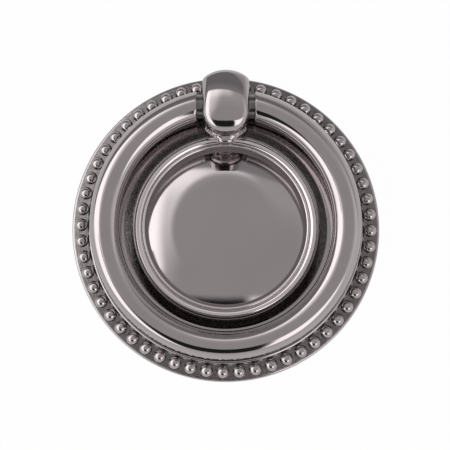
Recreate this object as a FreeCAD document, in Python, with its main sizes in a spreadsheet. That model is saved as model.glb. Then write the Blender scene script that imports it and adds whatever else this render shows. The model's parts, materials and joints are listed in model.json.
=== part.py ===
import FreeCAD, Part
import math
import os

import Sketcher

# Ring pull handle: a beaded round backplate, a hooded post and the ring that swings in it.
# It lies on its back: the backplate's back face is on Z = 0, its centre is the origin,
# +Z points out of the front and +Y points from the centre to the post. Millimetres.

SIZES = [
    # Ring, which sets the size of the rest
    ("ring_mid_radius", "23.45"),
    ("bar_radius", "2.85"),
    ("ring_end_half_gap", "5.6"),
    ("ring_end_rounding", "0.3"),
    ("ring_centre_setback", "0.12"),
    ("tenon_radius", "2.3"),
    ("tenon_clearance", "0.06"),
    ("tenon_tip_half_gap", "0.6"),
    ("tenon_root_overlap", "1.2"),
    ("pivot_height", "8.9"),
    ("rest_gap", "0.05"),
    # Backplate, outer border
    ("border_width", "3.05"),
    ("plate_edge_height", "1"),
    ("edge_rounding", "0.4"),
    ("border_inner_height", "2.2"),
    ("crest_overhang", "0.05"),
    ("crest_height", "3"),
    ("crest_rounding", "0.5"),
    ("channel_wall_run", "0.2"),
    # Backplate, beads
    ("bead_count", "56"),
    ("bead_radius", "1.28"),
    ("bead_inset", "1.85"),
    ("bead_height", "1.75"),
    ("bead_phase", "1.2"),
    # Backplate, trough that the ring lies in
    ("trough_floor", "1.6"),
    ("trough_bend_run", "2.25"),
    ("trough_bend_radius", "3.2"),
    ("boss_clearance", "0.8"),
    ("boss_wall_run", "1.7"),
    # Backplate, moulded rim and raised centre button
    ("rim_inset", "2.6"),
    ("rim_bead_radius", "0.85"),
    ("rim_spring_height", "3"),
    ("fillet_bead_radius", "0.32"),
    ("moulding_swell", "1.005"),
    ("groove_height", "3.3"),
    ("button_gap", "0.36"),
    ("button_height", "4.5"),
    ("button_flat_inset", "6.55"),
    ("button_bend_run", "2.26"),
    ("button_bend_radius", "8"),
    ("button_slope_radius", "40"),
    # Backplate, hollow back
    ("back_recess_inset", "0.35"),
    ("back_recess_depth", "1.5"),
    # Post
    ("post_half_width", "4.5"),
    ("nose_lead", "0.8"),
    ("head_top_height", "13.8"),
    ("head_crown_radius", "7.5"),
    ("head_shoulder_radius", "2.2"),
    ("hood_crown_radius", "11.8"),
    ("hood_sweep", "65"),
    ("hood_depth", "7.5"),
    ("hood_length", "7.6"),
    ("nose_belly_radius", "3.4"),
    ("nose_belly_height", "5.3"),
    ("post_end_radius", "6.7"),
    ("post_end_rounding", "1"),
    ("stem_recess", "2.25"),
    ("stem_top", "6.6"),
    ("seat_height", "1.2"),
    ("seat_clearance", "0.05"),
    ("tongue_seat_height", "2.4"),
    ("tongue_root_reach", "0.6"),
    ("tongue_root_half_width", "3.95"),
    ("tongue_root_height", "6"),
    ("tongue_tip_overhang", "0.45"),
    ("tongue_tip_half_width", "1.85"),
    ("tongue_tip_radius", "3"),
    ("tongue_tip_height", "3.5"),
    ("tongue_back_radius", "4"),
    # Spigot and tapped hole
    ("spigot_radius", "4"),
    ("spigot_setback", "1.95"),
    ("spigot_clearance", "0.05"),
    ("tap_wall_radius", "1.65"),
    ("tap_depth", "5.4"),
]

# Places that follow from the sizes, from the ring outwards, inwards and up the post.
REACH = "sqrt(ring_mid_radius ^ 2 - ring_end_half_gap ^ 2)"
CREST_INNER = "(ring_mid_radius + bar_radius - crest_overhang)"
CREST_OUTER = f"({CREST_INNER} + crest_rounding)"
BORDER_INNER = f"({CREST_OUTER} + channel_wall_run)"
PLATE_RADIUS = f"({BORDER_INNER} + border_width)"
BEAD_ROW_RADIUS = f"({PLATE_RADIUS} - bead_inset)"
BOSS_FOOT = "(ring_mid_radius - bar_radius - boss_clearance)"
RIM_CREST = f"({BOSS_FOOT} - rim_inset)"
RIM_OUTER = f"({RIM_CREST} + rim_bead_radius)"
RIM_INNER = f"({RIM_CREST} - rim_bead_radius)"
THIN_BEAD_INNER = f"({RIM_INNER} - 2 * fillet_bead_radius)"
BUTTON_RADIUS = f"({THIN_BEAD_INNER} - button_gap)"
BUTTON_FLAT = f"({BUTTON_RADIUS} - button_flat_inset)"
BUTTON_SLOPE = f"({BUTTON_FLAT} + button_bend_run)"
BACK_RECESS = f"({BUTTON_RADIUS} - back_recess_inset)"
PIVOT_Y = f"({REACH} - ring_centre_setback)"
HEAD_Y = f"({PIVOT_Y} - nose_lead)"
POST_END_Y = f"({HEAD_Y} + hood_length)"
BOW_AXIS_Y = f"({POST_END_Y} - post_end_radius)"
BOW_CORNER_Y = f"({BOW_AXIS_Y} + sqrt(post_end_radius ^ 2 - post_half_width ^ 2))"
STEM_FRONT_Y = f"({HEAD_Y} - stem_recess)"
TONGUE_ROOT_Y = f"({STEM_FRONT_Y} - tongue_root_reach)"
TONGUE_TIP_Y = f"({RIM_CREST} - tongue_tip_overhang)"
SPIGOT_Y = f"({PIVOT_Y} + spigot_setback)"

# How near two places are to count as the same, and the least that a cut takes away.
CLOSE = 0.01
LEAST_CUT = 1e-6

doc = FreeCAD.newDocument("ring_pull_handle")
sheet = doc.addObject("Spreadsheet::Sheet", "Sizes")
for row, (alias, value) in enumerate(SIZES, start=1):
    sheet.set(f"A{row}", alias)
    sheet.set(f"B{row}", value)
    sheet.setAlias(f"B{row}", alias)
doc.recompute()


def size(expression):
    """The number that an expression on the sheet's names gives."""
    return float(sheet.evalExpression(expression))


def on_sheet(expression):
    """The same expression, for a property of another object."""
    names = sorted((alias for alias, value in SIZES), key=len, reverse=True)
    parts, word = [], ""
    for letter in expression + " ":
        if letter.isalnum() or letter == "_":
            word += letter
            continue
        parts.append("Sizes." + word if word in names else word)
        parts.append(letter)
        word = ""
    return "".join(parts).strip()


def new_body(label):
    body = doc.addObject("PartDesign::Body", label)
    body.Label = label
    return body


def origin_feature(body, role):
    return next(part for part in body.Origin.OriginFeatures if part.Role == role)


def new_sketch(body, name, role, offset=(None, None, None)):
    """A sketch on one of the body's own planes, moved by expressions along the sketch's axes."""
    sketch = body.newObject("Sketcher::SketchObject", name)
    sketch.AttachmentSupport = [(origin_feature(body, role), "")]
    sketch.MapMode = "FlatFace"
    for axis, expression in zip("xyz", offset):
        if expression:
            sketch.setExpression(f"AttachmentOffset.Base.{axis}", on_sheet(expression))
    return sketch


def set_coordinate(sketch, geometry, end, across, up):
    """Ties one end of a line or arc to two expressions."""
    for kind, expression in (("DistanceX", across), ("DistanceY", up)):
        index = sketch.addConstraint(
            Sketcher.Constraint(kind, -1, 1, geometry, end, size(expression)))
        sketch.setExpression(f"Constraints[{index}]", on_sheet(expression))


def closed_outline(sketch, corners, arcs=None):
    """A closed outline through corners given as pairs of expressions.

    arcs maps the number of a stretch to its radius and to +1 where the arc bulges to the
    right of the way from its first corner to its second, or -1 where it bulges to the left.
    """
    arcs = arcs or {}
    places = [FreeCAD.Vector(size(across), size(up), 0) for across, up in corners]
    count = len(places)
    ends = []
    for stretch in range(count):
        first, last = places[stretch], places[(stretch + 1) % count]
        if stretch not in arcs:
            sketch.addGeometry(Part.LineSegment(first, last), False)
            ends.append((1, 2))
            continue
        radius, bulge = size(arcs[stretch][0]), arcs[stretch][1]
        chord = last - first
        right = FreeCAD.Vector(chord.y, -chord.x, 0).normalize()
        sagitta = radius - math.sqrt(radius ** 2 - (chord.Length / 2) ** 2)
        crown = (first + last) * 0.5 + right * (bulge * sagitta)
        sketch.addGeometry(Part.Arc(first, crown, last), False)
        ends.append((1, 2) if bulge > 0 else (2, 1))
    for stretch in range(count):
        following = (stretch + 1) % count
        sketch.addConstraint(Sketcher.Constraint(
            "Coincident", stretch, ends[stretch][1], following, ends[following][0]))
        set_coordinate(sketch, stretch, ends[stretch][0], *corners[stretch])
        if stretch in arcs:
            index = sketch.addConstraint(
                Sketcher.Constraint("Radius", stretch, size(arcs[stretch][0])))
            sketch.setExpression(f"Constraints[{index}]", on_sheet(arcs[stretch][0]))
    return sketch


def circle_at(sketch, across, up, radius):
    centre = FreeCAD.Vector(size(across), size(up), 0)
    circle = sketch.addGeometry(
        Part.Circle(centre, FreeCAD.Vector(0, 0, 1), size(radius)), False)
    set_coordinate(sketch, circle, 3, across, up)
    index = sketch.addConstraint(Sketcher.Constraint("Radius", circle, size(radius)))
    sketch.setExpression(f"Constraints[{index}]", on_sheet(radius))
    return sketch


def revolve(body, name, sketch, axis, angle="360"):
    feature = body.newObject("PartDesign::Revolution", name)
    feature.Profile = sketch
    feature.ReferenceAxis = (sketch, [axis])
    feature.setExpression("Angle", on_sheet(angle))
    return feature


def pad(body, name, sketch, length, reversed_way=False):
    feature = body.newObject("PartDesign::Pad", name)
    feature.Profile = sketch
    feature.setExpression("Length", on_sheet(length))
    feature.Reversed = reversed_way
    return feature


def pocket(body, name, sketch, length, reversed_way=False, midplane=False):
    """A cut, refused if it takes nothing away."""
    doc.recompute()
    before = body.Shape.Volume
    feature = body.newObject("PartDesign::Pocket", name)
    feature.Profile = sketch
    feature.setExpression("Length", on_sheet(length))
    feature.Reversed = reversed_way
    if midplane:
        feature.SideType = "Symmetric"
    doc.recompute()
    if body.Shape.Volume > before - LEAST_CUT:
        raise RuntimeError(f"{name} cuts nothing")
    return feature


def post_outline(sketch, clearance="0"):
    """The post's footprint: a straight front, straight sides and a bowed end."""
    side = f"post_half_width + {clearance}"
    front = f"{STEM_FRONT_Y} - {clearance}"
    corner_y = f"{BOW_CORNER_Y} + {clearance}"
    corners = [
        (f"-({side})", front),
        (side, front),
        (side, corner_y),
        (f"-({side})", corner_y),
    ]
    return closed_outline(sketch, corners, {2: ("post_end_radius", 1)})


def tongue_outline(sketch, clearance="0"):
    """The tongue that reaches from under the nose over the rim: tapered, with a bowed tip."""
    root = f"tongue_root_half_width + {clearance}"
    tip = f"tongue_tip_half_width + {clearance}"
    tip_y = f"{TONGUE_TIP_Y} - {clearance}"
    back = f"{STEM_FRONT_Y} + seat_clearance"
    corners = [
        (f"-({tip})", tip_y),
        (tip, tip_y),
        (root, TONGUE_ROOT_Y),
        (root, back),
        (f"-({root})", back),
        (f"-({root})", TONGUE_ROOT_Y),
    ]
    return closed_outline(sketch, corners, {0: ("tongue_tip_radius", 1)})


def make_backplate():
    body = new_body("backplate")
    profile = new_sketch(body, "plate_profile", "XZ_Plane")
    # A moulding is an arc just short of a half circle on its chord.
    rim_arc = ("sqrt(rim_bead_radius ^ 2 + ((groove_height - rim_spring_height) / 2) ^ 2)"
               " * moulding_swell")
    # The button is flat in the middle, then bends over into a gently rounded slope.
    bend_lean = "asin(button_bend_run / button_bend_radius)"
    edge_lean = f"asin(sin({bend_lean}) + ({BUTTON_RADIUS} - {BUTTON_SLOPE}) / button_slope_radius)"
    bend_z = f"(button_height - button_bend_radius * (1 - cos({bend_lean})))"
    edge_z = f"{bend_z} - button_slope_radius * (cos({bend_lean}) - cos({edge_lean}))"
    corners = [
        ("0", "back_recess_depth"),
        (BACK_RECESS, "back_recess_depth"),
        (BACK_RECESS, "0"),
        (PLATE_RADIUS, "0"),
        (PLATE_RADIUS, "plate_edge_height"),
        (f"{PLATE_RADIUS} - edge_rounding", "plate_edge_height + edge_rounding"),
        (BORDER_INNER, "border_inner_height"),
        (CREST_OUTER, "crest_height - crest_rounding"),
        (CREST_INNER, "crest_height"),
        (f"{CREST_INNER} - trough_bend_run", "trough_floor"),
        (BOSS_FOOT, "trough_floor"),
        (f"{BOSS_FOOT} - boss_wall_run", "rim_spring_height"),
        (RIM_OUTER, "rim_spring_height"),
        (RIM_INNER, "groove_height"),
        (THIN_BEAD_INNER, "groove_height"),
        (BUTTON_RADIUS, edge_z),
        (BUTTON_SLOPE, bend_z),
        (BUTTON_FLAT, "button_height"),
        ("0", "button_height"),
    ]
    closed_outline(profile, corners, {
        4: ("edge_rounding", 1),
        7: ("crest_rounding", 1),
        8: ("trough_bend_radius", -1),
        12: (rim_arc, 1),
        13: ("fillet_bead_radius * moulding_swell", 1),
        15: ("button_slope_radius", 1),
        16: ("button_bend_radius", 1),
    })
    revolve(body, "plate_disc", profile, "V_Axis")
    bead = body.newObject("PartDesign::AdditiveSphere", "bead")
    bead.AttachmentSupport = [(origin_feature(body, "XY_Plane"), "")]
    bead.MapMode = "FlatFace"
    bead.setExpression("Radius", on_sheet("bead_radius"))
    bead.setExpression("AttachmentOffset.Base.x", on_sheet(f"-{BEAD_ROW_RADIUS} * sin(bead_phase)"))
    bead.setExpression("AttachmentOffset.Base.y", on_sheet(f"-{BEAD_ROW_RADIUS} * cos(bead_phase)"))
    bead.setExpression("AttachmentOffset.Base.z", on_sheet("bead_height"))
    doc.recompute()
    beads = body.newObject("PartDesign::PolarPattern", "bead_row")
    beads.Originals = [bead]
    beads.Axis = (origin_feature(body, "Z_Axis"), [""])
    beads.Angle = 360
    beads.setExpression("Occurrences", on_sheet("bead_count"))
    body.Tip = beads
    seat = new_sketch(body, "post_seat_outline", "XY_Plane", (None, None, "seat_height"))
    post_outline(seat, "seat_clearance")
    pocket(body, "post_seat", seat, "head_top_height", reversed_way=True)
    groove = new_sketch(body, "tongue_seat_outline", "XY_Plane", (None, None, "tongue_seat_height"))
    tongue_outline(groove, "seat_clearance")
    pocket(body, "tongue_seat", groove, "head_top_height", reversed_way=True)
    hole = new_sketch(body, "spigot_hole_outline", "XY_Plane")
    circle_at(hole, "0", SPIGOT_Y, "spigot_radius + spigot_clearance")
    pocket(body, "spigot_hole", hole, "head_top_height", reversed_way=True)
    return body


def make_post():
    body = new_body("post")
    tip_sagitta = ("(tongue_tip_radius - sqrt(tongue_tip_radius ^ 2"
                   " - tongue_tip_half_width ^ 2))")
    tongue = new_sketch(body, "tongue_outline", "XY_Plane", (None, None, "tongue_seat_height"))
    tongue_outline(tongue)
    pad(body, "tongue", tongue, "head_top_height - tongue_seat_height")
    tip_front = f"{TONGUE_TIP_Y} - tongue_tip_radius"
    back = new_sketch(body, "tongue_back_outline", "YZ_Plane")
    closed_outline(back, [
        (tip_front, "tongue_tip_height"),
        (f"{TONGUE_TIP_Y} - {tip_sagitta}", "tongue_tip_height"),
        (TONGUE_ROOT_Y, "tongue_root_height"),
        (HEAD_Y, "tongue_root_height"),
        (HEAD_Y, "2 * head_top_height"),
        (tip_front, "2 * head_top_height"),
    ], {1: ("tongue_back_radius", -1)})
    pocket(body, "tongue_back", back, "4 * post_half_width", midplane=True)
    # The rounded section of the head: half of it is turned into the nose, all of it is swept
    # over the top into the hood.
    drop = ("(head_crown_radius - sqrt((head_crown_radius - head_shoulder_radius) ^ 2"
            " - (post_half_width - head_shoulder_radius) ^ 2))")
    lean = ("asin((post_half_width - head_shoulder_radius)"
            " / (head_crown_radius - head_shoulder_radius))")
    joint_x = f"head_crown_radius * sin({lean})"
    joint_z = f"head_top_height - head_crown_radius * (1 - cos({lean}))"
    shoulder_z = f"head_top_height - {drop}"
    nose = new_sketch(body, "nose_section", "XZ_Plane", (None, None, f"-{HEAD_Y}"))
    belly_z = "nose_belly_height + nose_belly_radius"
    closed_outline(nose, [
        ("0", "nose_belly_height"),
        ("post_half_width - nose_belly_radius", "nose_belly_height"),
        ("post_half_width", belly_z),
        ("post_half_width", shoulder_z),
        (joint_x, joint_z),
        ("0", "head_top_height"),
    ], {
        1: ("nose_belly_radius", 1),
        3: ("head_shoulder_radius", 1),
        4: ("head_crown_radius", 1),
    })
    revolve(body, "nose", nose, "V_Axis")
    hood_axis = "head_top_height - hood_crown_radius"
    hood = new_sketch(body, "hood_section", "XZ_Plane", (None, hood_axis, f"-{HEAD_Y}"))
    low = "hood_crown_radius - hood_depth"
    shoulder = f"{shoulder_z} - ({hood_axis})"
    joint = f"{joint_z} - ({hood_axis})"
    closed_outline(hood, [
        ("-post_half_width", low),
        ("post_half_width", low),
        ("post_half_width", shoulder),
        (joint_x, joint),
        (f"-({joint_x})", joint),
        ("-post_half_width", shoulder),
    ], {
        2: ("head_shoulder_radius", 1),
        3: ("head_crown_radius", 1),
        4: ("head_shoulder_radius", 1),
    })
    sweep = revolve(body, "hood", hood, "H_Axis", "hood_sweep")
    sweep.Reversed = True
    stem = new_sketch(body, "stem_outline", "XY_Plane", (None, None, "seat_height"))
    post_outline(stem)
    pad(body, "stem", stem, "stem_top - seat_height")
    # The hood's far end is trimmed to the footprint's bow.
    trim = new_sketch(body, "end_trim", "XY_Plane")
    far = f"{POST_END_Y} + 2 * hood_crown_radius"
    wide = "2 * post_half_width"
    closed_outline(trim, [
        ("-post_half_width", BOW_CORNER_Y),
        ("post_half_width", BOW_CORNER_Y),
        (wide, BOW_CORNER_Y),
        (wide, far),
        (f"-({wide})", far),
        (f"-({wide})", BOW_CORNER_Y),
    ], {0: ("post_end_radius", -1)})
    cut = pocket(body, "end_cut", trim, "2 * head_top_height", midplane=True)
    bow_axis_y = size(BOW_AXIS_Y)
    brow = []
    for number, edge in enumerate(cut.Shape.Edges, start=1):
        on_bow = all(abs(math.hypot(end.X, end.Y - bow_axis_y) - size("post_end_radius")) < CLOSE
                     for end in edge.Vertexes)
        upright = edge.BoundBox.XLength < CLOSE
        if on_bow and not upright and edge.BoundBox.ZMax > size("stem_top + post_end_rounding"):
            brow.append(f"Edge{number}")
    rounding = body.newObject("PartDesign::Fillet", "hood_end_edge")
    rounding.Base = (cut, brow)
    rounding.setExpression("Radius", on_sheet("post_end_rounding"))
    bore = new_sketch(body, "pivot_bore_outline", "YZ_Plane")
    circle_at(bore, PIVOT_Y, "pivot_height", "tenon_radius + tenon_clearance")
    pocket(body, "pivot_bore", bore, "4 * post_half_width", midplane=True)
    spigot = new_sketch(body, "spigot_outline", "XY_Plane")
    circle_at(spigot, "0", SPIGOT_Y, "spigot_radius")
    pad(body, "spigot", spigot, "seat_height")
    tap = new_sketch(body, "tapped_hole_outline", "XY_Plane")
    circle_at(tap, "0", SPIGOT_Y, "tap_wall_radius")
    pocket(body, "tapped_hole", tap, "tap_depth", reversed_way=True)
    return body


def make_ring():
    """The ring, built flat about its pivot and then laid down until it rests in the trough."""
    body = new_body("ring")
    bar = new_sketch(body, "bar_section", "YZ_Plane", (f"-({REACH})", None, None))
    circle_at(bar, "-ring_mid_radius", "0", "bar_radius")
    revolve(body, "hoop", bar, "V_Axis")
    gap = new_sketch(body, "end_gap_outline", "XY_Plane")
    closed_outline(gap, [
        ("-ring_end_half_gap", "-ring_mid_radius / 2"),
        ("ring_end_half_gap", "-ring_mid_radius / 2"),
        ("ring_end_half_gap", "ring_mid_radius"),
        ("-ring_end_half_gap", "ring_mid_radius"),
    ])
    cut = pocket(body, "end_gap", gap, "4 * bar_radius", midplane=True)
    half_gap = size("ring_end_half_gap")
    rims = [f"Edge{number}" for number, edge in enumerate(cut.Shape.Edges, start=1)
            if edge.BoundBox.XLength < CLOSE and abs(abs(edge.CenterOfMass.x) - half_gap) < CLOSE]
    rounding = body.newObject("PartDesign::Fillet", "ring_end_edges")
    rounding.Base = (cut, rims)
    rounding.setExpression("Radius", on_sheet("ring_end_rounding"))
    for side, name in ((1, "right"), (-1, "left")):
        tenon = new_sketch(body, f"{name}_tenon_outline", "YZ_Plane",
                           (None, None, f"{side} * tenon_tip_half_gap"))
        circle_at(tenon, "0", "0", "tenon_radius")
        pad(body, f"{name}_tenon", tenon,
            "ring_end_half_gap + tenon_root_overlap - tenon_tip_half_gap",
            reversed_way=side < 0)
    rest_drop = "pivot_height - trough_floor - bar_radius - rest_gap"
    incline = f"asin(({rest_drop}) / ({REACH} + ring_mid_radius))"
    body.Placement = FreeCAD.Placement(
        FreeCAD.Vector(0, size(PIVOT_Y), size("pivot_height")),
        FreeCAD.Rotation(FreeCAD.Vector(1, 0, 0), size(incline)))
    body.setExpression("Placement.Base.y", on_sheet(PIVOT_Y))
    body.setExpression("Placement.Base.z", on_sheet("pivot_height"))
    body.setExpression("Placement.Rotation.Angle", on_sheet(incline))
    print(f"ring incline {size(incline):.3f} degrees")
    return body


bodies = [make_backplate(), make_post(), make_ring()]
doc.recompute()
for item in doc.Objects:
    if "Invalid" in item.State or "Error" in item.State:
        raise RuntimeError(f"{item.Name} failed: {item.State}")
for body in bodies:
    if body.Shape.isNull() or not body.Shape.isValid():
        raise RuntimeError(f"{body.Label} has no valid shape")

os.makedirs("parts", exist_ok=True)
for body in bodies:
    body.Shape.exportStep(f"parts/{body.Label}.step")
    box = body.Shape.BoundBox
    print(f"{body.Label}: {len(body.Shape.Solids)} solid, {body.Shape.Volume:.1f} mm3,"
          f" x {box.XMin:.2f} {box.XMax:.2f}, y {box.YMin:.2f} {box.YMax:.2f},"
          f" z {box.ZMin:.2f} {box.ZMax:.2f}")
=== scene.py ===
# %% [markdown]
# # A ring pull in dark polished nickel
#
# A round backplate with a row of beads, a hooded post and a ring that swings in the post.
# All three are cast metal that was ground and polished before it was plated, so almost all
# that the eye gets from them is reflection. That sets the plan for this lesson: surfaces whose
# curves are exact, one quiet finish, and a studio that has something to reflect.

# %% Load the frame
import math

import bmesh
import bpy
from mathutils import Matrix, Vector
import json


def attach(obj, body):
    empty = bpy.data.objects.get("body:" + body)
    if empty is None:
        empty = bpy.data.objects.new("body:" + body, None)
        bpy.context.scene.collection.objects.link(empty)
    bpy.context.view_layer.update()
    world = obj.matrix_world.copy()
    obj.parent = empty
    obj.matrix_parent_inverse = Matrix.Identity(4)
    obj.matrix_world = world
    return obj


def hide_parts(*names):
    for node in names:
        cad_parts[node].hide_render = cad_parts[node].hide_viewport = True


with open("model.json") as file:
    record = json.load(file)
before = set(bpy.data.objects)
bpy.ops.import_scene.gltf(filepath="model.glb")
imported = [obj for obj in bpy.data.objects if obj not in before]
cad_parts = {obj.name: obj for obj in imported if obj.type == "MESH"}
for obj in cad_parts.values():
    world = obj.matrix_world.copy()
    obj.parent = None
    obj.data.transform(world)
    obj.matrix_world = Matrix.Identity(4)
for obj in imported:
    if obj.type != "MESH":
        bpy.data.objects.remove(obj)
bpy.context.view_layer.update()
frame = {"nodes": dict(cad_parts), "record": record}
MM = 0.001
print("nodes in the frame:", sorted(frame["nodes"]))

# %% [markdown]
# ## Drawing with arcs
#
# A turned shape is a half outline spun about an axis. The outline of this backplate is a chain
# of straight runs and arcs, as a turner would draw it. Writing each arc by its two ends and its
# radius keeps the drawing close to a workshop sheet. A mirror finish shows every flat facet, so
# an arc gets many short steps, and a straight run gets a short step at each end, which keeps
# the smooth shading of the arc from leaking into the flat.


# %% Outline helpers
def straight(start, end, guard=0.08):
    """Points after start, up to end, with a short step near each end."""
    (x0, y0), (x1, y1) = start, end
    length = math.hypot(x1 - x0, y1 - y0)
    near = min(guard, length / 4) / length
    return [(x0 + (x1 - x0) * t, y0 + (y1 - y0) * t) for t in (near, 0.5, 1 - near, 1)]


def arc(start, end, radius, swell, steps):
    """Points after start on an arc to end. swell is +1 where it bulges to the left of the way."""
    (x0, y0), (x1, y1) = start, end
    chord = math.hypot(x1 - x0, y1 - y0)
    left = (-(y1 - y0) / chord, (x1 - x0) / chord)
    inset = swell * math.sqrt(radius ** 2 - chord ** 2 / 4)
    centre = ((x0 + x1) / 2 - left[0] * inset, (y0 + y1) / 2 - left[1] * inset)
    first = math.atan2(y0 - centre[1], x0 - centre[0])
    last = math.atan2(y1 - centre[1], x1 - centre[0])
    turn = -((first - last) % math.tau) if swell > 0 else (last - first) % math.tau
    angles = [first + turn * step / steps for step in range(1, steps + 1)]
    return [(centre[0] + radius * math.cos(a), centre[1] + radius * math.sin(a)) for a in angles]


# %% Skin helpers
def object_from(name, points, faces):
    """An object from points in millimetres, with its faces turned outwards."""
    mesh = bpy.data.meshes.new(name)
    mesh.from_pydata([[c * MM for c in point] for point in points], [], faces)
    work = bmesh.new()
    work.from_mesh(mesh)
    bmesh.ops.recalc_face_normals(work, faces=work.faces)
    work.to_mesh(mesh)
    work.free()
    made = bpy.data.objects.new(name, mesh)
    bpy.context.scene.collection.objects.link(made)
    return made


def skin_rows(rows, start_pole=None, end_pole=None):
    """Points and faces of a tube: rows of as many points each, closed at each end."""
    count = len(rows[0])
    points = [point for row in rows for point in row]
    faces = []
    for low in range(0, (len(rows) - 1) * count, count):
        for i in range(count):
            j = (i + 1) % count
            faces.append((low + i, low + j, low + count + j, low + count + i))
    last = (len(rows) - 1) * count
    if start_pole is None:
        faces.append(tuple(range(count - 1, -1, -1)))
    else:
        points.append(start_pole)
        faces += [(len(points) - 1, (i + 1) % count, i) for i in range(count)]
    if end_pole is None:
        faces.append(tuple(range(last, last + count)))
    else:
        points.append(end_pole)
        faces += [(len(points) - 1, last + i, last + (i + 1) % count) for i in range(count)]
    return points, faces


def lathe(name, outline, steps, centre=(0, 0)):
    """Spins an outline of (radius, height) pairs whose first and last points are on the axis."""
    rows = []
    for radius, height in outline[1:-1]:
        rows.append([(centre[0] + radius * math.cos(math.tau * i / steps),
                      centre[1] + radius * math.sin(math.tau * i / steps), height)
                     for i in range(steps)])
    poles = [(centre[0], centre[1], outline[end][1]) for end in (0, -1)]
    return object_from(name, *skin_rows(rows, *poles))


def plain_mesh(made):
    """Turns an object with modifiers into a plain mesh."""
    graph = bpy.context.evaluated_depsgraph_get()
    mesh = bpy.data.meshes.new_from_object(made.evaluated_get(graph))
    made.modifiers.clear()
    made.data = mesh
    return made


def combine(body, tool, operation):
    """Joins or cuts two closed shapes, as welding or milling would, and uses up the tool."""
    step = body.modifiers.new("combine", "BOOLEAN")
    step.operation = operation
    step.solver = "MANIFOLD"
    step.object = tool
    before = len(body.data.polygons)
    plain_mesh(body)
    print(operation.lower(), tool.name, "-", before, "faces became", len(body.data.polygons))
    bpy.data.objects.remove(tool)
    return body


def face_outwards_and_shade(made, crease_degrees=30):
    """Points the faces outwards, shades them smooth and leaves the real creases sharp."""
    work = bmesh.new()
    work.from_mesh(made.data)
    bmesh.ops.remove_doubles(work, verts=work.verts, dist=1e-7)
    bmesh.ops.recalc_face_normals(work, faces=work.faces)
    for face in work.faces:
        face.smooth = True
    for edge in work.edges:
        if len(edge.link_faces) == 2:
            edge.smooth = edge.calc_face_angle() < math.radians(crease_degrees)
    work.to_mesh(made.data)
    work.free()
    print(made.name, "has", len(made.data.polygons), "faces")
    return made


# %% [markdown]
# ## Shader arithmetic
#
# A node tree is easier to read as a formula. This small class wraps a number socket, so that an
# expression such as `1 - mask * 0.2` adds its own Math nodes. Everything else goes through
# one method that sets a node's properties first and then fills its sockets.


# %% Node helpers
class Number:
    """A number socket that ordinary arithmetic works on."""

    def __init__(self, tree, socket):
        self.tree, self.socket = tree, socket

    def _math(self, operation, first, second):
        node = self.tree.node("ShaderNodeMath", {"operation": operation}, {0: first, 1: second})
        return Number(self.tree, node.outputs[0])

    def __add__(self, other):
        return self._math("ADD", self, other)

    def __sub__(self, other):
        return self._math("SUBTRACT", self, other)

    def __rsub__(self, other):
        return self._math("SUBTRACT", other, self)

    def __mul__(self, other):
        return self._math("MULTIPLY", self, other)

    __radd__ = __add__
    __rmul__ = __mul__


class Tree:
    """A shader node tree that is written in Python."""

    def __init__(self, owner):
        owner.use_nodes = True
        self.nodes, self.links = owner.node_tree.nodes, owner.node_tree.links
        self.nodes.clear()

    def node(self, kind, settings=None, sockets=None):
        made = self.nodes.new(kind)
        for name, value in (settings or {}).items():
            setattr(made, name, value)
        for name, value in (sockets or {}).items():
            if isinstance(value, Number):
                value = value.socket
            if isinstance(value, bpy.types.NodeSocket):
                self.links.new(value, made.inputs[name])
            else:
                made.inputs[name].default_value = value
        return made

    def number(self, kind, settings=None, sockets=None, output=0):
        return Number(self, self.node(kind, settings, sockets).outputs[output])

    def ramp(self, value, low, high):
        """0 below low, 1 above high, and a smooth step between."""
        return self.number("ShaderNodeMapRange", {"interpolation_type": "SMOOTHSTEP"},
                           {"Value": value, "From Min": low, "From Max": high})

    def band(self, value, low, high, soft):
        """1 between low and high, with edges that are soft wide."""
        return self.ramp(value, low - soft, low + soft) * (
            1 - self.ramp(value, high - soft, high + soft))

    def blend(self, low, high, mask):
        return mask * high + (1 - mask) * low


# %% [markdown]
# ## The finish: dark nickel
#
# Dark nickel is a plated metal: it is fully metallic, a little warm, and reflects about
# 40 percent of the light. Plating is not perfectly even: a broad haze changes its tint and its
# gloss a little, and a faint ripple stands for what hand polishing leaves. Two masks, which later
# cells draw, can add painted shade with a grainy, rougher skin in the hollows, and a painted
# highlight on the moulding.

# %% Dark nickel
NICKEL, HAZY_NICKEL = (0.425, 0.388, 0.393, 1), (0.405, 0.372, 0.378, 1)
# The bright colour here is a painted highlight and the near-black one is painted shade.
PAINTED_HIGHLIGHT_NICKEL, PAINTED_SHADE_NICKEL = (0.66, 0.61, 0.615, 1), (0.03, 0.026, 0.025, 1)
POLISH, HAZE_ROUGHNESS, CAST_ROUGHNESS = 0.055, 0.03, 0.2
HAZE_SCALE, RIPPLE_SCALE, GRAIN_SCALE = 90.0, 420.0, 1500.0
RIPPLE_STRENGTH, RIPPLE_DEPTH = 0.02, 0.2 * MM
GRAIN_STRENGTH, GRAIN_DEPTH = 0.4, 0.16 * MM


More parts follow.
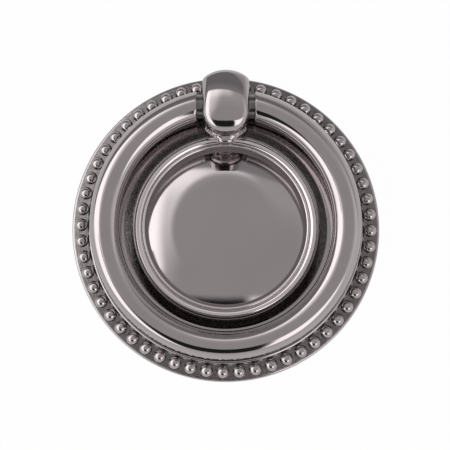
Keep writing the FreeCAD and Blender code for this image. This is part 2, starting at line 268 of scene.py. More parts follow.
def make_dark_nickel(name, shade_and_grain=None, painted_highlight=None):
    """The finish. The first mask paints shade dark and makes the skin grainy and rough; the second
    paints a highlight bright.
    """
    material = bpy.data.materials.new(name)
    tree = Tree(material)
    place = tree.node("ShaderNodeTexCoord").outputs["Object"]
    cloud = tree.number("ShaderNodeTexNoise", None,
                        {"Vector": place, "Scale": HAZE_SCALE, "Detail": 3.0, "Roughness": 0.5})
    haze = tree.ramp(cloud, 0.35, 0.7)
    tint = tree.node("ShaderNodeMix", {"data_type": "RGBA"},
                     {"Factor": haze, "A": NICKEL, "B": HAZY_NICKEL})
    ripple = tree.node("ShaderNodeTexNoise", None,
                       {"Vector": place, "Scale": RIPPLE_SCALE, "Detail": 1.0})
    bump = tree.node("ShaderNodeBump", None, {
        "Height": ripple.outputs[0], "Strength": RIPPLE_STRENGTH, "Distance": RIPPLE_DEPTH})
    roughness = POLISH + haze * HAZE_ROUGHNESS
    # Painted highlight: the tint is mixed towards a bright nickel on the moulding.
    if painted_highlight:
        tint = tree.node("ShaderNodeMix", {"data_type": "RGBA"}, {
            "Factor": painted_highlight(tree, place), "A": tint.outputs["Result"], "B": PAINTED_HIGHLIGHT_NICKEL})
    # Painted shade: the tint is mixed towards near black in the hollows, which also get a grainy
    # bump and more roughness.
    if shade_and_grain:
        grain = tree.number("ShaderNodeTexNoise", None, {
            "Vector": place, "Scale": GRAIN_SCALE, "Detail": 3.0, "Roughness": 0.6})
        mask = shade_and_grain(tree, place)
        tint = tree.node("ShaderNodeMix", {"data_type": "RGBA"}, {
            "Factor": mask * (1.15 - grain * 0.6), "A": tint.outputs["Result"],
            "B": PAINTED_SHADE_NICKEL})
        bump = tree.node("ShaderNodeBump", None, {
            "Height": grain * mask, "Strength": GRAIN_STRENGTH, "Distance": GRAIN_DEPTH,
            "Normal": bump.outputs[0]})
        roughness = roughness + mask * CAST_ROUGHNESS
    shader = tree.node("ShaderNodeBsdfPrincipled", None, {
        "Base Color": tint.outputs["Result"], "Metallic": 1.0,
        "Roughness": roughness, "Normal": bump.outputs[0]})
    tree.node("ShaderNodeOutputMaterial", None, {"Surface": shader.outputs[0]})
    return material

# %% [markdown]
# ## The backplate's disc
#
# From the middle outwards: a flat button that bends into a slope, a thin bead and a bold round
# moulding, a wall down into the trough that the ring lies in, a hollow curve up to a crest, and
# a sloping border. A real one is cast, then turned, so a lathe is the honest way to make it here.

# %% Backplate outline
BUTTON_HEIGHT, BUTTON_FLAT, BUTTON_BEND_RUN, BUTTON_BEND_RADIUS = 4.5, 8.8, 2.26, 8
BUTTON_RADIUS, BUTTON_SLOPE_RADIUS = 15.35, 40
GROOVE_HEIGHT, RIM_CREST, RIM_HALF_WIDTH, THIN_BEAD = 3.3, 17.2, 0.85, 0.32
RIM_FOOT_HEIGHT, TROUGH_FLOOR, BOSS_FOOT, BOSS_WALL_RUN = 3, 1.6, 19.8, 1.7
TROUGH_OUTER, TROUGH_BEND = 24, 3.2
CREST_HEIGHT, CREST_ROUND = 3, 0.5
BORDER_INNER, BORDER_INNER_HEIGHT, CHANNEL_WALL = 26.95, 2.2, 0.2
PLATE_RADIUS, PLATE_EDGE, PLATE_EDGE_ROUND = 30, 1, 0.4
RECESS_RADIUS, RECESS_DEPTH = 15, 1.5


def backplate_outline():
    slope_start = BUTTON_FLAT + BUTTON_BEND_RUN
    bend_lean = math.asin(BUTTON_BEND_RUN / BUTTON_BEND_RADIUS)
    edge_lean = math.asin(math.sin(bend_lean)
                          + (BUTTON_RADIUS - slope_start) / BUTTON_SLOPE_RADIUS)
    bend_z = BUTTON_HEIGHT - BUTTON_BEND_RADIUS * (1 - math.cos(bend_lean))
    edge_z = bend_z - BUTTON_SLOPE_RADIUS * (math.cos(bend_lean) - math.cos(edge_lean))
    moulding = math.hypot(RIM_HALF_WIDTH, (GROOVE_HEIGHT - RIM_FOOT_HEIGHT) / 2) * 1.005
    thin_outer = RIM_CREST - RIM_HALF_WIDTH
    crest_outer = BORDER_INNER - CHANNEL_WALL
    run = [(0, BUTTON_HEIGHT), (0.5, BUTTON_HEIGHT)]

    def go(piece, end, *shape):
        run.extend(piece(run[-1], end, *shape))

    go(straight, (BUTTON_FLAT, BUTTON_HEIGHT))
    go(arc, (slope_start, bend_z), BUTTON_BEND_RADIUS, 1, 14)
    go(arc, (BUTTON_RADIUS, edge_z), BUTTON_SLOPE_RADIUS, 1, 12)
    go(straight, (thin_outer - 2 * THIN_BEAD, GROOVE_HEIGHT))
    go(arc, (thin_outer, GROOVE_HEIGHT), THIN_BEAD * 1.005, 1, 10)
    go(arc, (RIM_CREST + RIM_HALF_WIDTH, RIM_FOOT_HEIGHT), moulding, 1, 22)
    go(straight, (BOSS_FOOT - BOSS_WALL_RUN, RIM_FOOT_HEIGHT))
    go(straight, (BOSS_FOOT, TROUGH_FLOOR))
    go(straight, (TROUGH_OUTER, TROUGH_FLOOR))
    go(arc, (crest_outer - CREST_ROUND, CREST_HEIGHT), TROUGH_BEND, -1, 16)
    go(arc, (crest_outer, CREST_HEIGHT - CREST_ROUND), CREST_ROUND, 1, 8)
    go(straight, (BORDER_INNER, BORDER_INNER_HEIGHT))
    go(straight, (PLATE_RADIUS - PLATE_EDGE_ROUND, PLATE_EDGE + PLATE_EDGE_ROUND))
    go(arc, (PLATE_RADIUS, PLATE_EDGE), PLATE_EDGE_ROUND, 1, 6)
    go(straight, (PLATE_RADIUS, 0))
    go(straight, (RECESS_RADIUS, 0))
    go(straight, (RECESS_RADIUS, RECESS_DEPTH))
    run.append((0, RECESS_DEPTH))
    return run


backplate = lathe("backplate_cast", backplate_outline(), steps=360)
print("backplate disc:", len(backplate.data.vertices), "points")

# %% [markdown]
# ## Painted shade and a painted highlight
#
# Shade is painted dark into the colour between the beads, at the foot of the wall, faintly in the
# trough and in the gaps beside the post, and the skin there is grainy and rougher. A highlight is
# painted bright on the moulding that stands proud. The masks follow the outline's own sizes, in
# millimetres.

# %% Masks for painted shade and a painted highlight
BORDER_OUTER = PLATE_RADIUS - PLATE_EDGE_ROUND
BORDER_FALL = (BORDER_INNER_HEIGHT - PLATE_EDGE - PLATE_EDGE_ROUND) / (BORDER_OUTER - BORDER_INNER)
# How strongly shade is painted into the colour in each place.
BORDER_DARKNESS, FOOT_DARKNESS, TROUGH_DARKNESS, GAP_DARKNESS = 0.72, 0.97, 0.07, 0.72
GAP_SQUARES, GAP_Y = (9, 31), (10, 12)


def measures(tree, place):
    """x, y, z and the distance from the plate's axis, in millimetres."""
    metres = tree.node("ShaderNodeSeparateXYZ", None, {0: place}).outputs
    x, y, z = (Number(tree, socket) * (1 / MM) for socket in metres)
    return x, y, z, tree.number("ShaderNodeMath", {"operation": "SQRT"}, {0: x * x + y * y})


def plate_shade_and_grain(tree, place):
    """Painted shade, with a grainy and rougher skin: the border between the beads, the foot of the
    wall and, faintly, the trough.
    """
    _, _, z, radius = measures(tree, place)
    above_border = z - BORDER_INNER_HEIGHT + (radius - BORDER_INNER) * BORDER_FALL
    border = tree.band(radius, BORDER_INNER - 0.1, BORDER_OUTER, 0.12)
    border = border * (1 - tree.ramp(above_border, 0.1, 0.5))
    foot = tree.band(radius, BOSS_FOOT - BOSS_WALL_RUN + 0.1, BOSS_FOOT - 0.05, 0.3)
    trough = tree.band(radius, BOSS_FOOT + 0.1, TROUGH_OUTER + 0.5, 0.4)
    return border * BORDER_DARKNESS + foot * FOOT_DARKNESS + trough * TROUGH_DARKNESS


def plate_painted_highlight(tree, place):
    """A painted highlight on the moulding round the button, from its thin bead to the top of the
    wall.
    """
    _, _, _, radius = measures(tree, place)
    return tree.band(radius, BUTTON_RADIUS + 0.45, BOSS_FOOT - BOSS_WALL_RUN, 0.15)


def ring_shade_and_grain(tree, place):
    """Painted shade, with a grainy and rougher skin, in the gaps beside the post. The square of x
    finds both tenons at once.
    """
    x, y, _, _ = measures(tree, place)
    return tree.band(x * x, *GAP_SQUARES, 1) * tree.ramp(y, *GAP_Y) * GAP_DARKNESS


# The plate's and the ring's finishes carry painted shade in their colour, and the plate's also a
# painted highlight.
dark_nickel = make_dark_nickel("dark_nickel")
plate_nickel = make_dark_nickel("dark_nickel_plate", plate_shade_and_grain, plate_painted_highlight)
ring_nickel = make_dark_nickel("dark_nickel_ring", ring_shade_and_grain)

# %% [markdown]
# ## The row of beads
#
# Fifty-six round beads stand on the border, all alike. Anything that repeats by a rule is work
# for Geometry Nodes: a circle of points, one ball on each, and the count, sizes and starting
# angle as named inputs, so that the row can be changed without touching the tree.

# %% Beads
BEADS = {"Count": 56, "Ball radius": 1.28 * MM, "Row radius": 28.15 * MM,
         "Height": 1.75 * MM, "Start angle": math.radians(-91.2)}


def bead_tree():
    group = bpy.data.node_groups.new("bead_row", "GeometryNodeTree")
    for name, value in BEADS.items():
        kind = "NodeSocketInt" if isinstance(value, int) else "NodeSocketFloat"
        group.interface.new_socket(name, in_out="INPUT", socket_type=kind)
    group.interface.new_socket("Beads", in_out="OUTPUT", socket_type="NodeSocketGeometry")

    def add(kind, **links):
        made = group.nodes.new(kind)
        for name, value in links.items():
            target = made.inputs[name.replace("_", " ")]
            if isinstance(value, bpy.types.NodeSocket):
                group.links.new(value, target)
            else:
                target.default_value = value
        return made

    given = add("NodeGroupInput").outputs
    row = add("GeometryNodeMeshCircle", Vertices=given["Count"], Radius=given["Row radius"])
    turn = add("ShaderNodeCombineXYZ", Z=given["Start angle"])
    lift = add("ShaderNodeCombineXYZ", Z=given["Height"])
    placed = add("GeometryNodeTransform", Geometry=row.outputs[0], Rotation=turn.outputs[0],
                 Translation=lift.outputs[0])
    ball = add("GeometryNodeMeshUVSphere", Segments=32, Rings=16, Radius=given["Ball radius"])
    beads = add("GeometryNodeInstanceOnPoints", Points=placed.outputs[0],
                Instance=ball.outputs[0])
    real = add("GeometryNodeRealizeInstances", Geometry=beads.outputs[0])
    finish = add("GeometryNodeSetMaterial", Geometry=real.outputs[0], Material=plate_nickel)
    out = group.nodes.new("NodeGroupOutput")
    group.links.new(finish.outputs[0], out.inputs["Beads"])
    return group


def make_beads():
    made = object_from("beads", [(0, 0, 0)], [])
    modifier = made.modifiers.new("bead_row", "NODES")
    modifier.node_group = bead_tree()
    for socket in modifier.node_group.interface.items_tree:
        if socket.in_out == "INPUT":
            modifier[socket.identifier] = BEADS[socket.name]
    return plain_mesh(made)


beads = make_beads()
print("bead row:", len(beads.data.polygons), "faces")

# %% [markdown]
# ## The post's head
#
# The head is a hood: half round in front, where it makes a nose, and falling away behind in a
# long curve to a bowed end. Across it, a wide crown turns down into tight shoulders. A box with
# bevels would show its construction in every reflection, so the top is one skin. It is drawn as
# a set of stations that share their points, and the height of each point is a formula.

# %% Head sizes
PIVOT = Vector(frame["record"]["behaviour"]["joints"][0]["pos_m"]) / MM
HALF_WIDTH, NOSE_Y, HEAD_TOP = 4.5, PIVOT.y - 0.8, 13.8
CROWN_RADIUS, SHOULDER_RADIUS = 9.4, 1.75
NOSE_SQUARENESS, NOSE_REACH = 0.82, 4.85
NOSE_ARCS = [(7.7, 21.5), (4.6, 51.5), (0.9, 90)]
HOOD_RADIUS = 11.8
END_Y, END_BOW = NOSE_Y + 7.8, 6.6
BROW_RADIUS = 0.8
SEAT_HEIGHT = 1.2
SECTION_STEPS, NOSE_STEPS, HOOD_ROWS, BROW_ROWS = 36, 72, 28, 12


def section(crown, shoulder=SHOULDER_RADIUS, steps=SECTION_STEPS):
    """(distance from the middle, drop below the top) from the middle to the wall."""
    lean = math.asin((HALF_WIDTH - shoulder) / (crown - shoulder))
    pairs = []
    for step in range(steps + 1):
        angle = math.pi / 2 * step / steps
        if angle <= lean:
            pairs.append((crown * math.sin(angle), crown * (1 - math.cos(angle))))
        else:
            pairs.append((HALF_WIDTH - shoulder * (1 - math.sin(angle)),
                          crown - (crown - shoulder) * math.cos(lean)
                          - shoulder * math.cos(angle)))
    return pairs


# %% Head skin
def bow_y(x):
    """How far back the bowed end reaches at x."""
    return END_Y - END_BOW + math.sqrt(END_BOW ** 2 - x ** 2)


def hood_top(y):
    """Height of the hood's ridge."""
    return HEAD_TOP - HOOD_RADIUS + math.sqrt(HOOD_RADIUS ** 2 - (y - NOSE_Y) ** 2)


def nose_plan(turn):
    """How far the nose's outline lies from its middle at a turn, as shares of half the width.

    A plain half circle would look pointed. A power of its sine and cosine fills the corners.
    """
    across = math.copysign(abs(math.cos(turn)) ** NOSE_SQUARENESS, math.cos(turn))
    return across, math.sin(turn) ** NOSE_SQUARENESS * NOSE_REACH / HALF_WIDTH


def nose_front(steps=SECTION_STEPS):
    """The nose's section at its front: three arcs that tighten on the way down."""
    pairs, out, drop, start = [], 0, 0, 0
    for radius, lean in NOSE_ARCS:
        first, last = math.radians(start), math.radians(lean)
        share = steps // len(NOSE_ARCS)
        for step in range(share):
            angle = first + (last - first) * step / share
            pairs.append((out + radius * (math.sin(angle) - math.sin(first)),
                          drop + radius * (math.cos(first) - math.cos(angle))))
        out += radius * (math.sin(last) - math.sin(first))
        drop += radius * (math.cos(first) - math.cos(last))
        start = lean
    pairs.append((out, drop))
    return [(r / out * HALF_WIDTH, fall) for r, fall in pairs]


def nose_section(turn):
    """The nose's section at a turn from the side, 0 or 180 degrees, to the front, 90."""
    share = math.sin(turn) ** 2
    return [(a[0] + (b[0] - a[0]) * share, a[1] + (b[1] - a[1]) * share)
            for a, b in zip(section(CROWN_RADIUS), nose_front())]


def make_head():
    """Closed: the top skin, then walls straight down to the seat."""
    points, faces = [], []

    def place(x, y, z):
        points.append((x, y, z))
        return len(points) - 1

    apex = place(0, NOSE_Y, HEAD_TOP)
    fans = []
    for step in range(NOSE_STEPS + 1):
        turn = math.pi * step / NOSE_STEPS
        across, forward = nose_plan(turn)
        fans.append([apex] + [place(-r * across, NOSE_Y - r * forward, HEAD_TOP - drop)
                              for r, drop in nose_section(turn)[1:]])
    for one, two in zip(fans, fans[1:]):
        faces.append((one[0], one[1], two[1]))
        faces += [(one[i], one[i + 1], two[i + 1], two[i]) for i in range(1, SECTION_STEPS)]
    across = [(-r, drop) for r, drop in reversed(section(CROWN_RADIUS)[1:])]
    across += section(CROWN_RADIUS)
    rows = [list(reversed(fans[0]))[:-1] + fans[-1]]
    for row in range(1, HOOD_ROWS + BROW_ROWS + 1):
        line = []
        for x, drop in across:
            inner = bow_y(x) - BROW_RADIUS
            if row <= HOOD_ROWS:
                y = NOSE_Y + (inner - NOSE_Y) * row / HOOD_ROWS
                brow = 0
            else:
                angle = math.pi / 2 * (row - HOOD_ROWS) / BROW_ROWS
                y = inner + BROW_RADIUS * math.sin(angle)
                brow = BROW_RADIUS * (1 - math.cos(angle))
            line.append(place(x, y, hood_top(y) - drop - brow))
        rows.append(line)
    for one, two in zip(rows, rows[1:]):
        faces += [(one[i], one[i + 1], two[i + 1], two[i]) for i in range(len(one) - 1)]
    rim = [fan[-1] for fan in fans] + [row[-1] for row in rows[1:]]
    rim += list(reversed(rows[-1]))[1:] + [row[0] for row in reversed(rows[1:-1])]
    base = [place(points[i][0], points[i][1], SEAT_HEIGHT) for i in rim]
    for i in range(len(rim)):
        j = (i + 1) % len(rim)
        faces.append((rim[i], rim[j], base[j], base[i]))
    faces.append(tuple(base))
    return object_from("post_cast", points, faces)


post = make_head()
print("head skin:", len(post.data.polygons), "faces, pivot at", tuple(PIVOT))

# %% [markdown]
# ## The rest of the post
#
# Below the nose the casting is undercut, so the ring can swing up past it, and a tongue
# reaches forward over the rim. These lower forms are plain solids welded on or milled away:
# joining closed shapes with Boolean is quick to read, and their edges lie in the shade.

# %% Post sizes
STEM_FRONT, BELLY_RADIUS, BELLY_HEIGHT = NOSE_Y - 2.25, 3.4, 5.3
SPIGOT_Y, SPIGOT_RADIUS, SPIGOT_GAP = PIVOT.y + 1.95, 4, 0.05
TAP_RADIUS, TAP_DEPTH = 1.65, 5.4
TENON_RADIUS, TENON_GAP = 2.3, 0.06
TONGUE_SEAT, TONGUE_ROOT_HALF = 2.4, 4.3
TONGUE_TIP_Y, TONGUE_TIP_HALF = 16.1, 1.8
TONGUE_STEPS = [(19.9, 7), (19.1, 6.1), (18.6, 5.5), (18.1, 5.3), (17.5, 4.95), (17, 4.85),
                (16.1, 4.55)]
TONGUE_NARROWS, TONGUE_NARROW, TONGUE_ROUNDS = 18.7, 17.1, 17.2


# %% Post tools
def block(name, low, high):
    """A box between two corners."""
    (x0, y0, z0), (x1, y1, z1) = low, high
    ring = [(x0, y0), (x1, y0), (x1, y1), (x0, y1)]
    return object_from(name, *skin_rows([[(x, y, z) for x, y in ring] for z in (z0, z1)]))


def rod(name, centre, radius, axis, low, high, steps=64):
    """A cylinder along "x" or "z" from low to high. centre gives its other two coordinates."""
    turns = [math.tau * i / steps for i in range(steps)]
    ring = [(centre[0] + radius * math.cos(a), centre[1] + radius * math.sin(a)) for a in turns]
    order = {"z": lambda p, along: (p[0], p[1], along), "x": lambda p, along: (along, *p)}[axis]
    return object_from(name, *skin_rows([[order(p, along) for p in ring] for along in (low, high)]))


def make_belly():
    """The round underside of the nose."""
    inner = HALF_WIDTH - BELLY_RADIUS
    top = BELLY_HEIGHT + BELLY_RADIUS
    wall = HALF_WIDTH - 0.002
    outline = [(0, BELLY_HEIGHT), (0.4, BELLY_HEIGHT)]
    outline += straight(outline[-1], (inner, BELLY_HEIGHT))
    outline += arc(outline[-1], (wall, top), BELLY_RADIUS, -1, 18)
    outline += [(wall, top + 0.3), (0, top + 0.3)]
    return lathe("belly", outline, 96, (0, NOSE_Y))


def tongue_top(y):
    """Height of the tongue's ridge: a smooth line through its steps."""
    for (y0, z0), (y1, z1) in zip(TONGUE_STEPS, TONGUE_STEPS[1:]):
        if y >= y1:
            share = (y0 - y) / (y0 - y1)
            return z0 + (z1 - z0) * share * share * (3 - 2 * share)
    return TONGUE_STEPS[-1][1]


def make_tongue():
    """A spout-like tongue: a wide high root, a funnel and a round low tip."""
    rows = []
    steps, around = 48, 40
    root_y = TONGUE_STEPS[0][0]
    for step in range(steps + 1):
        y = root_y - math.sin(math.pi / 2 * step / steps) * (root_y - TONGUE_TIP_Y)
        share = min(max((y - TONGUE_NARROW) / (TONGUE_NARROWS - TONGUE_NARROW), 0), 1)
        half = TONGUE_TIP_HALF + (TONGUE_ROOT_HALF - TONGUE_TIP_HALF) * share
        past = max((TONGUE_ROUNDS - y) / (TONGUE_ROUNDS - TONGUE_TIP_Y), 0)
        half = half * math.sqrt(max(1 - past ** 2.4, 1e-4))
        rise = (tongue_top(y) - TONGUE_SEAT) * math.sqrt(max(1 - past ** 8, 1e-4))
        row = []
        for i in range(around + 1):
            angle = math.pi * i / around
            row.append((half * math.cos(angle), y, TONGUE_SEAT + rise * math.sin(angle) ** 0.4))
        rows.append(row)
    return object_from("tongue", *skin_rows(rows))


# %% Build the post
big = 3 * HALF_WIDTH
CUT_PAST, WELD_OVERLAP, SPIGOT_HOLE_TOP = 1, 0.5, 1.9
combine(post, block("undercut", (-big, 0, 0), (big, STEM_FRONT, BELLY_HEIGHT + BELLY_RADIUS)),
        "DIFFERENCE")
combine(post, make_belly(), "UNION")
combine(post, make_tongue(), "UNION")
combine(post, rod("spigot", (0, SPIGOT_Y), SPIGOT_RADIUS, "z", 0, SEAT_HEIGHT + WELD_OVERLAP),
        "UNION")
combine(post, rod("bore", (PIVOT.y, PIVOT.z), TENON_RADIUS + TENON_GAP, "x", -big, big),
        "DIFFERENCE")
combine(post, rod("tap", (0, SPIGOT_Y), TAP_RADIUS, "z", -CUT_PAST, TAP_DEPTH), "DIFFERENCE")
face_outwards_and_shade(post)

# %% [markdown]
# ## Seating the post in the backplate
#
# The beads are one casting with the plate, and the post drops into a pocket milled across the
# trough and the border, with a round spigot through to the back. The beads are joined on first,
# so the pocket cuts through them too, as it does on the real one.


# %% Join the beads and cut the seats
def footprint(name, low, high, gap=0.05):
    """The post's outline in plan, grown by a gap."""
    steps = 48
    turns = [math.pi * i / steps for i in range(steps + 1)]
    half = HALF_WIDTH + gap
    ring = [(-half * math.cos(t), NOSE_Y - half * math.sin(t)) for t in turns]
    ring = [(x, max(y, STEM_FRONT - gap)) for x, y in ring]
    ring += [(half * math.cos(t), bow_y(HALF_WIDTH * math.cos(t)) + gap) for t in turns]
    return object_from(name, *skin_rows([[(x, y, z) for x, y in ring] for z in (low, high)]))


combine(backplate, beads, "UNION")
combine(backplate, footprint("seat", SEAT_HEIGHT, HEAD_TOP), "DIFFERENCE")
spigot_hole = rod("spigot_hole", (0, SPIGOT_Y), SPIGOT_RADIUS + SPIGOT_GAP, "z", -CUT_PAST,
                  SPIGOT_HOLE_TOP)
combine(backplate, spigot_hole, "DIFFERENCE")
face_outwards_and_shade(backplate)

# %% [markdown]
# ## The ring
#
# The ring is a round bar bent to a circle, cut square across at the post, with a thinner tenon
# on each end that turns in the post's bore. One tube of rows makes all of it: tenon, flat
# shoulder, rounded edge, hoop, and the same again. It is drawn lying flat about its pivot
# and then tipped until it rests in the trough.

# %% Ring
RING_MID, BAR_RADIUS, END_HALF_GAP, END_ROUND = 23.45, 2.85, 5.6, 0.3
TENON_TIP = 0.6
REST_GAP = 0.05
BAR_STEPS, HOOP_STEPS, ROUND_STEPS = 64, 360, 6


def ring_row(bar, x_cut=None, turn=None):
    """Points round the bar where a plane at x cuts it, or at one turn of the hoop's own."""
    reach = math.sqrt(RING_MID ** 2 - END_HALF_GAP ** 2)
    row = []
    for i in range(BAR_STEPS):
        angle = math.tau * i / BAR_STEPS
        out = RING_MID + bar * math.cos(angle)
        if x_cut is None:
            limit = math.asin((END_HALF_GAP + END_ROUND) / out)
            way = limit + turn * (math.tau - 2 * limit)
            side = 1
        else:
            way = math.asin(abs(x_cut) / out)
            side = -1 if x_cut < 0 else 1
        row.append((side * out * math.sin(way), out * math.cos(way) - reach,
                    bar * math.sin(angle)))
    return row


def tenon_row(x):
    turns = [math.tau * i / BAR_STEPS for i in range(BAR_STEPS)]
    return [(x, TENON_RADIUS * math.cos(a), TENON_RADIUS * math.sin(a)) for a in turns]


def end_rows(side):
    """From the tenon's tip to where the hoop starts."""
    shoulder = END_HALF_GAP + END_ROUND
    rows = [tenon_row(side * x) for x in (TENON_TIP, TENON_TIP + 0.1, 3, 5.5, END_HALF_GAP)]
    for step in range(ROUND_STEPS):
        angle = math.pi / 2 * step / ROUND_STEPS
        rows.append(ring_row(BAR_RADIUS - END_ROUND * (1 - math.sin(angle)),
                             side * (shoulder - END_ROUND * math.cos(angle))))
    return rows


def make_ring():
    reach = math.sqrt(RING_MID ** 2 - END_HALF_GAP ** 2)
    drop = PIVOT.z - TROUGH_FLOOR - BAR_RADIUS - REST_GAP
    tip = math.asin(drop / (reach + RING_MID))
    rows = end_rows(1)
    rows += [ring_row(BAR_RADIUS, None, step / HOOP_STEPS) for step in range(HOOP_STEPS + 1)]
    rows += reversed(end_rows(-1))
    made = object_from("ring_bar", *skin_rows(rows, (TENON_TIP, 0, 0), (-TENON_TIP, 0, 0)))
    made.data.transform(Matrix.Translation(PIVOT * MM) @ Matrix.Rotation(tip, 4, "X"))
    print(f"the ring lies at {math.degrees(tip):.2f} degrees")
    return face_outwards_and_shade(made)


ring = make_ring()

# %% Dress the pieces and hang them on their bodies
for made, finish in ((backplate, plate_nickel), (post, dark_nickel), (ring, ring_nickel)):
    made.data.materials.clear()
    made.data.materials.append(finish)
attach(backplate, "plate")
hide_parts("backplate")
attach(post, "plate")
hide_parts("post")
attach(ring, "ring")
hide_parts("ring")

# %% [markdown]
# ## Floor
#
# The part lies on a white table. The camera and the metal should see that table as white, and
# the table should still show where the part touches it. Mixing plain white light into the
# table's own shading, for those rays only, does both.


# %% Floor
FLOOR_HALF = 1.5 / MM
WHITE_TO_CAMERA, WHITE_TO_METAL, TABLE_GREY = 0.97, 0.5, 0.85


def make_floor():
    half = FLOOR_HALF
    ring_of_corners = [(-half, -half, 0), (half, -half, 0), (half, half, 0), (-half, half, 0)]
    floor = object_from("floor", ring_of_corners, [(0, 1, 2, 3)])
    material = bpy.data.materials.new("white_table")
    tree = Tree(material)
    ray = tree.node("ShaderNodeLightPath").outputs
    seen = Number(tree, ray["Is Camera Ray"]) * WHITE_TO_CAMERA
    seen = seen + Number(tree, ray["Is Glossy Ray"]) * WHITE_TO_METAL
    table = tree.node("ShaderNodeBsdfDiffuse", None, {"Color": (*[TABLE_GREY] * 3, 1)})
    white = tree.node("ShaderNodeEmission", None, {"Color": (1, 1, 1, 1), "Strength": 1.0})
    both = tree.node("ShaderNodeMixShader", None,
                     {0: seen, 1: table.outputs[0], 2: white.outputs[0]})
    tree.node("ShaderNodeOutputMaterial", None, {"Surface": both.outputs[0]})
    floor.data.materials.append(material)
    return floor


make_floor()

# %% [markdown]
# ## The studio
#
# Polished metal is lit by what it reflects. The room is a soft grey ceiling, a large softbox on
# the left with a thin dark frame, a window on the right, a darker far wall and a dark opening in
# front. All of it is painted on the world by direction: two angles tell how far a direction leans
# to the side and how far it leans away. A pair is where something starts and where it is full,
# or its two edges, in degrees.

# %% World sizes
ROOM_TINT = (1, 0.985, 0.99)
CEILING, CEILING_RISE, CEILING_RISES = 0.56, 0.1, (6, 30)
FAR_GLOW, FAR_GLOWS, FAR_GLOW_FADES = 0.6, (25, 42), (6, 26)
LEFT_GLOW, LEFT_GLOWS, LEFT_GLOW_SLANT = 0.7, (18, 46), 0.4
RIGHT_GLOW, RIGHT_GLOWS = 0.4, (40, 72)
WALL, WALL_FOOT, WALL_SLANT = 0.4, (42, 45), 0.1
WALL_FALL, WALL_FALLS, WALL_RIGHT_GLOW, WALL_RIGHT_GLOWS = 0.12, (46, 62), 0.3, (45, 65)
NEAR_FLOOR, NEAR_FLOOR_ENDS = 0.8, (-74, -68)
SOFTBOX, SOFTBOX_SIDES, SOFTBOX_SOFT, SOFTBOX_FOOT, SOFTBOX_SLANT = 2.4, (-80, -40), 4, (-6, 4), 0.5
LOW_BOX, LOW_BOX_SIDES, LOW_BOX_ENDS, LOW_BOX_SOFT = 2.3, (-80, -46), (-72, -18), 3
OPENING, OPENING_ENDS, OPENING_SOFT, OPENING_LEFT = 0.025, (-67, -35), 2.5, (-42, -38)
OPENING_RIGHT, JAMB_SLANT = (-10, -5), 0.58
WINDOW, WINDOW_ENDS, WINDOW_SOFT, WINDOW_LEFT, WINDOW_RIGHT = 2.3, (-67, -36), 3, (-6, -1), (56, 66)
FRAME, FRAME_SIDES, FRAME_SIDES_SOFT, FRAME_SLANT = 0.04, (-49.5, -45.5), 0.8, 0.2
FRAME_ENDS, FRAME_ENDS_SOFT = (-38, -6), 1.5


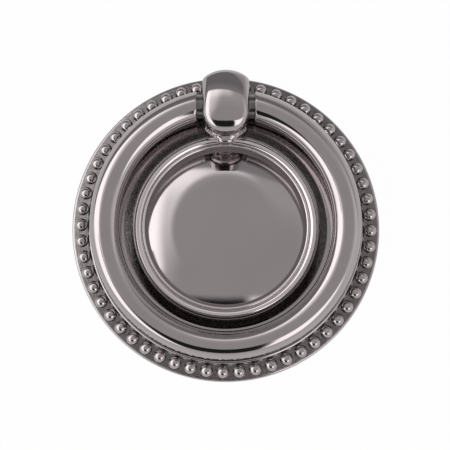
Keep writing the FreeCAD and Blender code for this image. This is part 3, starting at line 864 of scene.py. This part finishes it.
# %% World
def make_world():
    world = bpy.data.worlds.new("studio")
    bpy.context.scene.world = world
    tree = Tree(world)
    way = tree.node("ShaderNodeSeparateXYZ", None,
                    {0: tree.node("ShaderNodeTexCoord").outputs["Generated"]}).outputs

    def lean(socket):
        angle = tree.number("ShaderNodeMath", {"operation": "ARCTAN2"}, {0: socket, 1: way["Z"]})
        return tree.number("ShaderNodeMath", {"operation": "DEGREES"}, {0: angle})

    side, away = lean(way["X"]), lean(way["Y"])

    wall_way = away + side * WALL_SLANT
    beyond = tree.ramp(wall_way, *WALL_FOOT)
    far_glow = tree.ramp(away, *FAR_GLOWS) * (1 - tree.ramp(side, *FAR_GLOW_FADES))
    level = CEILING + tree.ramp(away, *CEILING_RISES) * CEILING_RISE + far_glow * FAR_GLOW
    level = level + tree.ramp(away * LEFT_GLOW_SLANT - side, *LEFT_GLOWS) * LEFT_GLOW
    level = level + tree.ramp(side, *RIGHT_GLOWS) * RIGHT_GLOW
    wall = WALL - tree.ramp(wall_way, *WALL_FALLS) * WALL_FALL
    wall = wall + tree.ramp(side, *WALL_RIGHT_GLOWS) * WALL_RIGHT_GLOW
    level = tree.blend(level, wall, beyond)
    level = tree.blend(level, NEAR_FLOOR, 1 - tree.ramp(away, *NEAR_FLOOR_ENDS))
    softbox = tree.band(side, *SOFTBOX_SIDES, SOFTBOX_SOFT) * (1 - beyond)
    softbox = softbox * tree.ramp(away - side * SOFTBOX_SLANT, *SOFTBOX_FOOT)
    level = tree.blend(level, SOFTBOX, softbox)
    low_box = tree.band(side, *LOW_BOX_SIDES, LOW_BOX_SOFT)
    low_box = low_box * tree.band(away, *LOW_BOX_ENDS, LOW_BOX_SOFT)
    level = tree.blend(level, LOW_BOX, low_box)
    slant = side + away * JAMB_SLANT
    opening = tree.band(away, *OPENING_ENDS, OPENING_SOFT) * tree.ramp(side, *OPENING_LEFT)
    level = tree.blend(level, OPENING, opening * (1 - tree.ramp(slant, *OPENING_RIGHT)))
    window = tree.band(away, *WINDOW_ENDS, WINDOW_SOFT) * tree.ramp(slant, *WINDOW_LEFT)
    level = tree.blend(level, WINDOW, window * (1 - tree.ramp(side, *WINDOW_RIGHT)))
    frame_edge = tree.band(side + away * FRAME_SLANT, *FRAME_SIDES, FRAME_SIDES_SOFT)
    frame_edge = frame_edge * tree.band(away, *FRAME_ENDS, FRAME_ENDS_SOFT)
    level = tree.blend(level, FRAME, frame_edge)
    tint = tree.node("ShaderNodeVectorMath", {"operation": "SCALE"},
                     {0: ROOM_TINT, "Scale": level})
    glow_node = tree.node("ShaderNodeBackground", None, {"Color": tint.outputs[0]})
    tree.node("ShaderNodeOutputWorld", None, {"Surface": glow_node.outputs[0]})


make_world()

# %% [markdown]
# ## Camera
#
# The picture was taken from almost straight above, leaning a little towards the ring's free
# side. Measured pixels of the picture give its scale and where the plate's centre falls, and
# those set the lens and its shift.

# %% Camera
PICTURE = 450
PIXELS_PER_MM = 5.118
CENTRE_PIXEL = (225.83, 228.14)
CAMERA_DISTANCE, CAMERA_LEAN, AIM_HEIGHT = 0.4, math.radians(8.9), 1.4 * MM
SENSOR = 36


def make_camera():
    data = bpy.data.cameras.new("camera")
    camera = bpy.data.objects.new("camera", data)
    bpy.context.scene.collection.objects.link(camera)
    away = Vector((0, -math.sin(CAMERA_LEAN), math.cos(CAMERA_LEAN)))
    camera.location = Vector((0, 0, AIM_HEIGHT)) + CAMERA_DISTANCE * away
    camera.rotation_euler = (CAMERA_LEAN, 0, 0)
    data.sensor_width = SENSOR
    data.lens = SENSOR * (CAMERA_DISTANCE / MM) * PIXELS_PER_MM / PICTURE
    data.shift_x = (PICTURE / 2 - CENTRE_PIXEL[0]) / PICTURE
    data.shift_y = (CENTRE_PIXEL[1] - PICTURE / 2) / PICTURE
    bpy.context.scene.camera = camera
    print(f"lens {data.lens:.1f} mm")


make_camera()
bpy.context.scene.view_settings.view_transform = "Standard"

# %% The end
import json
